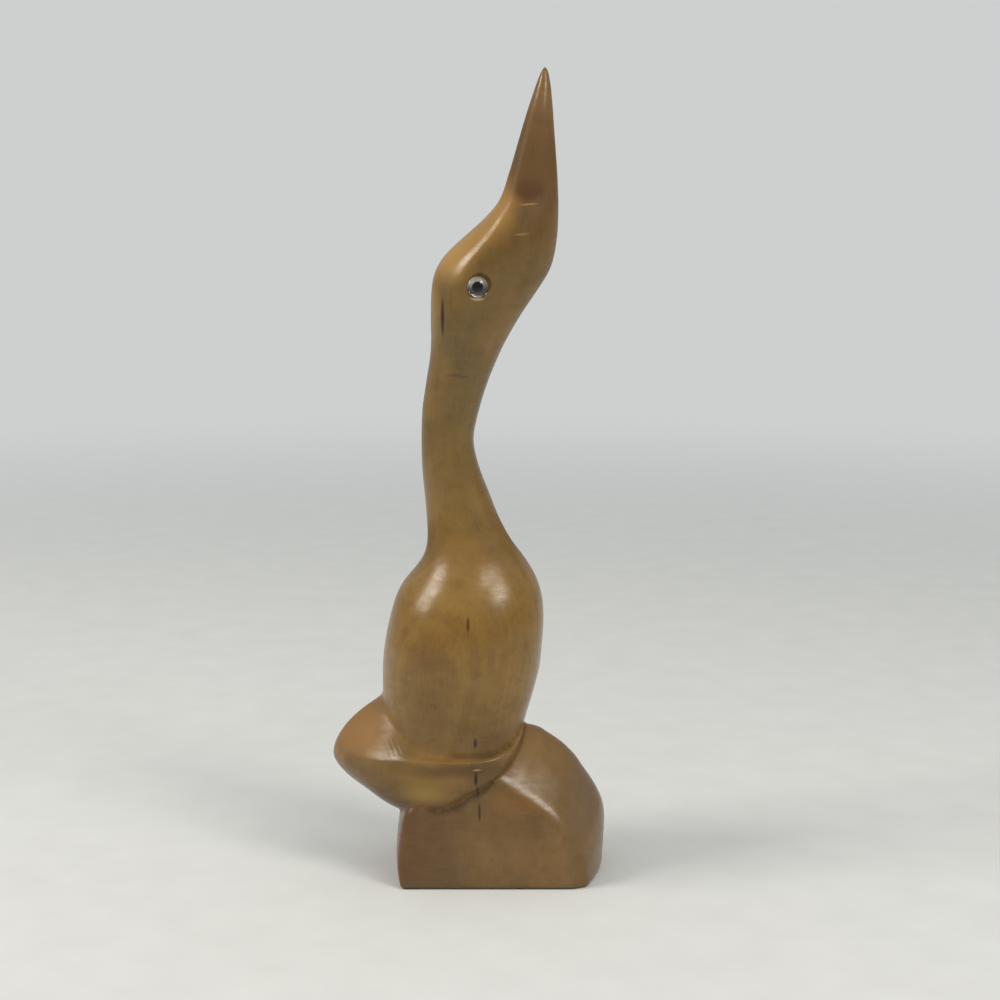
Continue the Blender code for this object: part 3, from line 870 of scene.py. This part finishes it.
in_hollow = put(tree, "ShaderNodeAttribute", out=2, attribute_name="hollow")
# painted shade: the creases where forms meet are darker
colour = tinted(tree, between(tree, in_hollow, 0.20, 1.0, 0.0, 0.55), colour, seen(58, 36, 14))
in_shade = put(tree, "ShaderNodeAttribute", out=2, attribute_name="shade")
colour = tinted(tree, between(tree, in_shade, 0.1, 1.0, 0.0, 0.65), colour, seen(60, 40, 20))
tree.links.new(colour, shader.inputs["Base Color"])
print(len(MARKS_AND_PAINTED_LIGHT), "marks, and darker hollows")

# %% [markdown]
# ## Fine relief
#
# Fibres and growth rings stand up a little under the varnish, and a knife left slanting strokes
# at the side of the hull. They are far finer than the mesh, so a bump carries them.

# %% Relief of the grain
STROKES = (3800.0, 0.0, 2300.0)  # across the knife strokes, in radians a metre

grain_height = maths(tree, "MULTIPLY", fibre, 0.6)
grain_height = maths(tree, "ADD", grain_height, maths(tree, "MULTIPLY", ring_tone, 0.4))
stroke = along(tree, "DOT_PRODUCT", place, STROKES, out=1)
stroke = maths(tree, "SINE", stroke)
struck = use_effect(tree, spot, place, (-0.0222, -0.0150, 0.0398), (0.0048, 0.0060, 0.0034), 0.6)
stroke = maths(tree, "MULTIPLY", stroke, maths(tree, "MULTIPLY", struck, 1.6))
grain_height = maths(tree, "ADD", grain_height, stroke)
bump = tree.nodes.new("ShaderNodeBump")
bump.inputs["Strength"].default_value = 0.25
bump.inputs["Distance"].default_value = 0.00008
tree.links.new(grain_height, bump.inputs["Height"])
tree.links.new(bump.outputs[0], shader.inputs["Normal"])
print("relief of", round(bump.inputs["Distance"].default_value * 1000, 3), "mm")

# %% [markdown]
# ## Varnish
#
# A thin clear varnish lies on the wood, which is the coat of the shader. It is patchy in level
# bands where it was rubbed down, almost missing in the hollows, and thin where hands and cloths
# have worn it. There the wood below is rougher too.

# %% The varnish
SANDING_COUNTS = (260, 260, 1150)  # how many times a metre the rubbed bands change

# (middle, size, share that is gone) where the varnish is thin: neck, beak, nape, tail
WORN = [
    ((0.0010, -0.0100, 0.0990), (0.0240, 0.0180, 0.0105), 0.95),
    ((0.0150, -0.0060, 0.2060), (0.0150, 0.0180, 0.0230), 0.90),
    ((-0.0055, -0.0100, 0.1690), (0.0075, 0.0120, 0.0075), 0.90),
    ((-0.0310, -0.0100, 0.0450), (0.0100, 0.0160, 0.0110), 0.90),
]

roughness = between(tree, cloud, 0.3, 0.7, 0.26, 0.36)
sanding_place = along(tree, "MULTIPLY", place, SANDING_COUNTS)
sanded = put(tree, "ShaderNodeTexNoise", sanding_place, None, 1.0, 2.0)
roughness = maths(tree, "ADD", roughness, between(tree, in_hollow, 0.05, 0.5, 0.0, 0.35))
varnish = between(tree, in_hollow, 0.05, 0.40, 0.46, 0.03)
varnish = maths(tree, "MULTIPLY", varnish, between(tree, sanded, 0.35, 0.65, 0.55, 1.15))
for middle, size, strength in WORN:
    mask = use_effect(tree, spot, place, middle, size, 0.5)
    left = maths(tree, "SUBTRACT", 1.0, maths(tree, "MULTIPLY", mask, strength))
    varnish = maths(tree, "MULTIPLY", varnish, left)
    roughness = maths(tree, "ADD", roughness, maths(tree, "MULTIPLY", mask, 0.34))
tree.links.new(roughness, shader.inputs["Roughness"])
tree.links.new(varnish, shader.inputs["Coat Weight"])
shader.inputs["Coat Roughness"].default_value = 0.20
shader.inputs["Coat IOR"].default_value = 1.45
shader.inputs["Specular IOR Level"].default_value = 0.25
bird.data.materials.clear()
bird.data.materials.append(wood)
print("wood finish with", len(tree.nodes), "nodes and", len(WORN), "worn places")

# %% [markdown]
# ## Glass and its painted back
#
# The dome is clear glass. The paint behind it is pale and a little uneven in its upper half. Its
# lower half is painted dark, a painted shade for the deep edge of the socket seen through the
# glass, down to a thin pale line at the foot, a painted highlight where the lit wood shows. The
# pupil is a plain black: its shine is the glass's.

# %% The eye finishes
clear, tree, shader = new_finish("clear_eye_glass")
shader.inputs["Base Color"].default_value = (1, 1, 1, 1)
shader.inputs["Transmission Weight"].default_value = 1.0
shader.inputs["IOR"].default_value = 1.45
smear = put(tree, "ShaderNodeTexNoise", put(tree, "ShaderNodeTexCoord", out=3), None, 900.0, 2.0)
tree.links.new(between(tree, smear, 0.3, 0.8, 0.01, 0.06), shader.inputs["Roughness"])

paint, tree, shader = new_finish("iris_paint_and_painted_shade")
speck = put(tree, "ShaderNodeTexNoise", put(tree, "ShaderNodeTexCoord", out=3), None, 1500.0, 3.0)
iris_colour_and_shade = tinted(tree, speck, seen(184, 176, 156), seen(206, 198, 178))
lower = put(tree, "ShaderNodeSeparateXYZ", put(tree, "ShaderNodeTexCoord", out=3), out=2)
# painted shade on the lower half of the iris, and a painted highlight line at its foot
iris_colour_and_shade = tinted(tree, between(tree, lower, 0.1692, 0.1714), seen(34, 24, 10), iris_colour_and_shade)
painted_lit_foot_line = between(tree, lower, 0.1677, 0.1683, 1.0, 0.0)
iris_colour_and_shade = tinted(tree, painted_lit_foot_line, iris_colour_and_shade, seen(206, 190, 156))
tree.links.new(iris_colour_and_shade, shader.inputs["Base Color"])
shader.inputs["Roughness"].default_value = 0.4

black, tree, shader = new_finish("pupil_black")
dust = put(tree, "ShaderNodeTexNoise", put(tree, "ShaderNodeTexCoord", out=3), None, 1200.0, 2.0)
pupil_colour = tinted(tree, dust, (0.004, 0.004, 0.005, 1), (0.010, 0.010, 0.011, 1))
tree.links.new(pupil_colour, shader.inputs["Base Color"])
shader.inputs["Roughness"].default_value = 0.4
shader.inputs["Specular IOR Level"].default_value = 0.0
print("three eye finishes")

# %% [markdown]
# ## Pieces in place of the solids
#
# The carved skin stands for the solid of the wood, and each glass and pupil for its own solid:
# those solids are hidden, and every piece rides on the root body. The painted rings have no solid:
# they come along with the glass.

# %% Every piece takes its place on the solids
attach(bird, "root")
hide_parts("carved_bird")
for label, glass, iris, pupil in eye_pieces:
    looks = (
        (glass, clear, "eye_glass"),
        (iris, paint, "eye_glass"),
        (pupil, black, "eye_pupil"),
    )
    for piece, finish, slot in looks:
        piece.data.materials.clear()
        piece.data.materials.append(finish)
        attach(piece, "root")
    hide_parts(label + "_eye_glass")
    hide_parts(label + "_eye_pupil")
print("wood and", len(eye_pieces), "eyes are in place")

# %% [markdown]
# ## Floor
#
# The figure stands on a plain pale floor that fades into the backdrop. The fade is only for what
# the camera sees, so the floor gives the figure no light of its own.

# %% Floor
BACKDROP = seen(206, 208, 208)
bpy.ops.object.select_all(action="DESELECT")
bpy.ops.mesh.primitive_circle_add(vertices=128, radius=3.0, fill_type="NGON", location=(0, 0, 0))
floor = bpy.context.object
floor.name = floor.data.name = "floor"
pale, tree, shader = new_finish("pale_floor")
weave = put(tree, "ShaderNodeTexNoise", put(tree, "ShaderNodeTexCoord", out=3), None, 60.0, 3.0)
floor_colour = tinted(tree, weave, seen(196, 196, 194), seen(206, 206, 204))
tree.links.new(floor_colour, shader.inputs["Base Color"])
shader.inputs["Roughness"].default_value = 0.9
spread = along(tree, "LENGTH", put(tree, "ShaderNodeTexCoord", out=3), out=1)
far = between(tree, spread, 0.35, 1.10)
camera_ray = tree.nodes.new("ShaderNodeLightPath").outputs["Is Camera Ray"]
glow = put(tree, "ShaderNodeEmission", BACKDROP, 1.0)
faded = maths(tree, "MULTIPLY", far, camera_ray)
blend_out = put(tree, "ShaderNodeMixShader", faded, shader.outputs[0], glow)
tree.links.new(blend_out, tree.nodes["Material Output"].inputs["Surface"])
floor.data.materials.append(pale)
floor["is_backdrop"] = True
print("floor of", round(floor.dimensions.x, 1), "m")

# %% [markdown]
# ## Light
#
# Pale light comes from all round, and what the varnish mirrors is darker than what the camera
# sees. Two windows of two panes light the figure, one on the left and one on the right of the
# camera. Each pane stands where the varnish throws its light back to the camera from a place that
# shines on the real bird.

# %% Light
AIM = Vector((0, 0, 0.11))  # the middle of the figure, which the windows face
DAYLIGHT = (1.0, 0.95, 0.86)

world = bpy.data.worlds.new("room")
bpy.context.scene.world = world
world.use_nodes = True
tree = world.node_tree
tree.nodes.clear()
path = tree.nodes.new("ShaderNodeLightPath")
ambient = put(tree, "ShaderNodeBackground", (0.92, 0.98, 1.0, 1), 0.60)
mirrored = put(tree, "ShaderNodeBackground", (0.36, 0.37, 0.38, 1), 1.0)
shown = put(tree, "ShaderNodeBackground", BACKDROP, 1.0)
both = put(tree, "ShaderNodeMixShader", path.outputs["Is Glossy Ray"], ambient, mirrored)
both = put(tree, "ShaderNodeMixShader", path.outputs["Is Camera Ray"], both, shown)
tree.links.new(both, tree.nodes.new("ShaderNodeOutputWorld").inputs["Surface"])


def window(name, azimuth, elevation, distance, width, height, power):
    """A soft lamp that faces the figure. Azimuth 0 is the camera's side and 90 the right."""
    turn, lift = math.radians(azimuth), math.radians(elevation)
    level = math.cos(lift)
    towards = Vector((math.sin(turn) * level, -math.cos(turn) * level, math.sin(lift)))
    lamp_data = bpy.data.lights.new(name, "AREA")
    lamp_data.shape = "RECTANGLE"
    lamp_data.size, lamp_data.size_y = width, height
    lamp_data.energy = power
    lamp_data.color = DAYLIGHT
    lamp = bpy.data.objects.new(name, lamp_data)
    lamp.location = AIM + towards * distance
    lamp.rotation_euler = towards.to_track_quat("Z", "Y").to_euler()
    bpy.context.scene.collection.objects.link(lamp)


window("upper_left_pane", -77, 43, 1.0, 0.40, 0.16, 3.5)
window("lower_left_pane", -74, 28, 1.0, 0.40, 0.28, 2.9)
window("upright_right_pane", 49, 35, 1.0, 0.32, 0.38, 4.2)
window("level_right_pane", 34, 52, 1.0, 0.36, 0.10, 1.5)
print("four panes of light")

# %% [markdown]
# ## Camera
#
# A short telephoto lens looks at the figure from its right side, a little from above, from about
# half a metre away.

# %% Camera
LOOKS_DOWN = 9.6  # degrees

camera_data = bpy.data.cameras.new("view")
camera_data.lens = 72
camera_data.sensor_width = 36
camera = bpy.data.objects.new("view", camera_data)
bpy.context.scene.collection.objects.link(camera)
camera.location = (0.0091, -0.563, 0.204)
camera.rotation_euler = (math.radians(90 - LOOKS_DOWN), 0, 0)
bpy.context.scene.camera = camera
bpy.context.scene.view_settings.view_transform = "Standard"
print("camera", round(-camera.location.y, 3), "m in front of the figure")

# %% [markdown]
# ## Sizes and finish
#
# The size of the dressed figure is printed before the scene is closed. The carved surface has
# to fill the same box as the plain solids.

# %% Write the sizes
dressed_low, dressed_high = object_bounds()
spans = [round((b - a) * 1000, 1) for a, b in zip(dressed_low, dressed_high)]
print("the dressed figure spans", spans, "mm")
